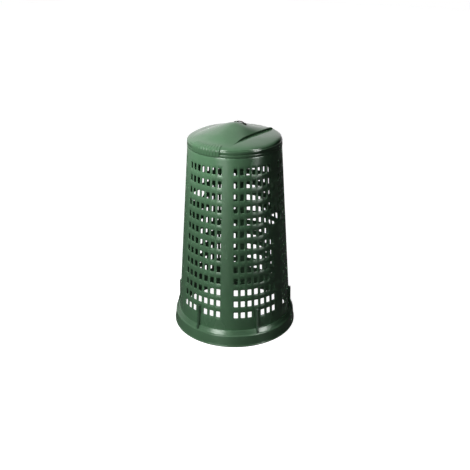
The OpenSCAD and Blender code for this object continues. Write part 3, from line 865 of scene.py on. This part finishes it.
body_green = moulded("body_green", (0.058, 0.130, 0.068), (0.076, 0.163, 0.087), 0.25, 0.04, 0.00030, 0.00001)
ring_green = moulded("ring_green", (0.062, 0.136, 0.072), (0.080, 0.168, 0.091), 0.22, 0.04, 0.00030, 0.00001)
# the clips' green is darkened well below the body's green, painting in the shade on their side faces and the shadow
# beside them
clip_green = moulded("clip_green", (0.020, 0.050, 0.026), (0.030, 0.068, 0.036), 0.36, 0.05, 0.00015, 0.00001)
lid_green = moulded("lid_green", (0.048, 0.106, 0.055), (0.062, 0.132, 0.070), 0.14, 0.03, 0.00025, 0.00001)
strap_black = moulded("strap_black", (0.014, 0.012, 0.012), (0.024, 0.021, 0.021), 0.75, 0.08, 0.00010, 0.00002,
                      specular=0.15)
pin_zinc = moulded("pin_zinc", (0.42, 0.43, 0.44), (0.56, 0.57, 0.58), 0.30, 0.08, 0.00002, 0.00001)
pin_zinc.node_tree.nodes["Principled BSDF"].inputs["Metallic"].default_value = 1.0


def paint(obj, material):
    obj.data.materials.clear()
    obj.data.materials.append(material)


for piece, material in ((body_wall, body_green), (base_skirt, ring_green), (collar_band, lid_green),
                        (lid_skin, lid_green), (grip_pad, lid_green), (strap_band, strap_black),
                        (strap_rivet_heads, strap_black)):
    paint(piece, material)
for clip in clips:
    paint(clip, clip_green)
for pin in pins:
    for slot in pin.material_slots:
        slot.material = pin_zinc

# ---------------------------------------------------------------- floor, sky and lights
floor_size = 30.0
floor_verts, floor_faces = [], []
cells = 12
for i in range(cells + 1):
    for j in range(cells + 1):
        floor_verts.append(((i / cells - 0.5) * floor_size, (j / cells - 0.5) * floor_size, 0.0))
for i in range(cells):
    for j in range(cells):
        a = i * (cells + 1) + j
        floor_faces.append((a, a + 1, a + cells + 2, a + cells + 1))
floor = add_mesh("floor", floor_verts, floor_faces)
floor_white = bpy.data.materials.new("floor_white")
floor_white.use_nodes = True
floor_shader = floor_white.node_tree.nodes["Principled BSDF"]
floor_shader.inputs["Base Color"].default_value = (0.55, 0.55, 0.55, 1)
floor_shader.inputs["Roughness"].default_value = 0.9
floor_shader.inputs["Specular IOR Level"].default_value = 0.1
floor_shader.inputs["Emission Color"].default_value = (1, 1, 1, 1)
floor_shader.inputs["Emission Strength"].default_value = 0.97
paint(floor, floor_white)
floor.visible_glossy = False
floor.visible_diffuse = False

world = bpy.data.worlds.new("studio")
bpy.context.scene.world = world
world.use_nodes = True
world.cycles.sampling_method = "NONE"
tree = world.node_tree
background = tree.nodes["Background"]
coords = tree.nodes.new("ShaderNodeTexCoord")
spin = tree.nodes.new("ShaderNodeVectorRotate")
spin.rotation_type = "Z_AXIS"
spin.inputs["Angle"].default_value = -AXIS_TURN + math.pi / 2
link(tree, coords.outputs["Generated"], spin.inputs["Vector"])
split = tree.nodes.new("ShaderNodeSeparateXYZ")
link(tree, spin.outputs["Vector"], split.inputs["Vector"])
azimuth = tree.nodes.new("ShaderNodeMath")
azimuth.operation = "ARCTAN2"
link(tree, split.outputs["Y"], azimuth.inputs[0])
link(tree, split.outputs["X"], azimuth.inputs[1])
degrees = tree.nodes.new("ShaderNodeMapRange")
for key, value in zip(("From Min", "From Max", "To Min", "To Max"), (-math.pi, math.pi, 0.0, 1.0)):
    degrees.inputs[key].default_value = value
link(tree, azimuth.outputs["Value"], degrees.inputs["Value"])
# what glossy surfaces see of the studio, as brightness by degrees to the right of the camera's own direction:
# two tall bands and a pale far side, below and above eye level
LOW_RING = [(-180, 0.90), (-150, 0.90), (-125, 0.60), (-100, 0.35), (-60, 0.25), (-45, 0.60), (-33, 3.20),
            (-22, 3.40), (-10, 0.50), (0, 0.12), (34, 0.08), (44, 0.40), (50, 4.60), (56, 4.60), (62, 0.15),
            (72, 0.02), (135, 0.02), (150, 0.30), (163, 0.80)]
HIGH_RING = [(-180, 1.00), (-150, 1.00), (-125, 0.60), (-100, 0.25), (-60, 0.20), (-46, 0.50), (-38, 15.0),
             (-26, 15.0), (-20, 0.50), (-8, 0.15), (34, 0.10), (44, 0.30), (48, 15.0), (60, 15.0), (67, 0.10),
             (75, 0.02), (135, 0.02), (150, 0.30), (163, 0.90)]
BRIGHTEST = 16.0  # colours are stored as shares of this, and the background's strength restores it


def ring_ramp(levels):
    node = tree.nodes.new("ShaderNodeValToRGB")
    link(tree, degrees.outputs["Result"], node.inputs["Fac"])
    ramp = node.color_ramp
    ramp.interpolation = "LINEAR"
    while len(ramp.elements) > 1:
        ramp.elements.remove(ramp.elements[-1])
    ramp.elements[0].position = 0.0
    for n, (angle, level) in enumerate(levels):
        element = ramp.elements[0] if n == 0 else ramp.elements.new((angle + 180) / 360)
        element.color = (level / BRIGHTEST, level / BRIGHTEST, level / BRIGHTEST, 1)
    return node.outputs["Color"]


def mapped(source, low, high):
    node = tree.nodes.new("ShaderNodeMapRange")
    node.inputs["From Min"].default_value = low
    node.inputs["From Max"].default_value = high
    link(tree, source, node.inputs["Value"])
    return node.outputs["Result"]


def mixed(factor, a, b):
    node = tree.nodes.new("ShaderNodeMix")
    node.data_type = "RGBA"
    for key, value in (("Factor", factor), ("A", a), ("B", b)):
        if isinstance(value, (int, float)):
            node.inputs[key].default_value = (value / BRIGHTEST,) * 3 + (1,)
        else:
            link(tree, value, node.inputs[key])
    return node.outputs["Result"]


# matt surfaces get a soft fill instead, from the camera's left; the camera itself sees white
rays = tree.nodes.new("ShaderNodeLightPath")
low_ring = mixed(mapped(split.outputs["Z"], -0.13, -0.30), ring_ramp(LOW_RING), 0.06)
ring = mixed(mapped(split.outputs["Z"], -0.05, 0.12), low_ring, ring_ramp(HIGH_RING))
seen = mixed(mapped(split.outputs["Z"], 0.60, 0.90), ring, 0.45)
left = mapped(split.outputs["Y"], 0.55, -0.75)
filled = mixed(left, 0.03, 0.12)
fill = mixed(mapped(split.outputs["Z"], 0.05, -0.10), filled, 0.06)
lit = mixed(rays.outputs["Is Diffuse Ray"], seen, fill)
link(tree, mixed(rays.outputs["Is Camera Ray"], lit, 1.0), background.inputs["Color"])
background.inputs["Strength"].default_value = BRIGHTEST


def softbox(name, azimuth, distance, z, aim_z, size, power):
    data = bpy.data.lights.new(name, "AREA")
    data.shape = "RECTANGLE"
    data.size, data.size_y = size
    data.energy = power
    light = bpy.data.objects.new(name, data)
    bpy.context.scene.collection.objects.link(light)
    light.location = toward(azimuth, distance, z)
    aim = Vector((0, 0, aim_z)) - light.location
    light.rotation_euler = aim.to_track_quat("-Z", "Y").to_euler()
    light.visible_camera = False
    return light


for light in (softbox("key", -50, 0.70, 1.36, 0.76, (0.45, 0.35), 15.0),
              softbox("top", -70, 0.5, 2.6, 0.8, (1.2, 1.2), 5),
              softbox("low", -40, 0.75, 0.10, 0.03, (1.0, 0.08), 1.6)):
    light.visible_glossy = False

scene = bpy.context.scene
scene.view_settings.view_transform = "Standard"
scene.view_settings.look = "None"
scene.view_settings.exposure = 0.0
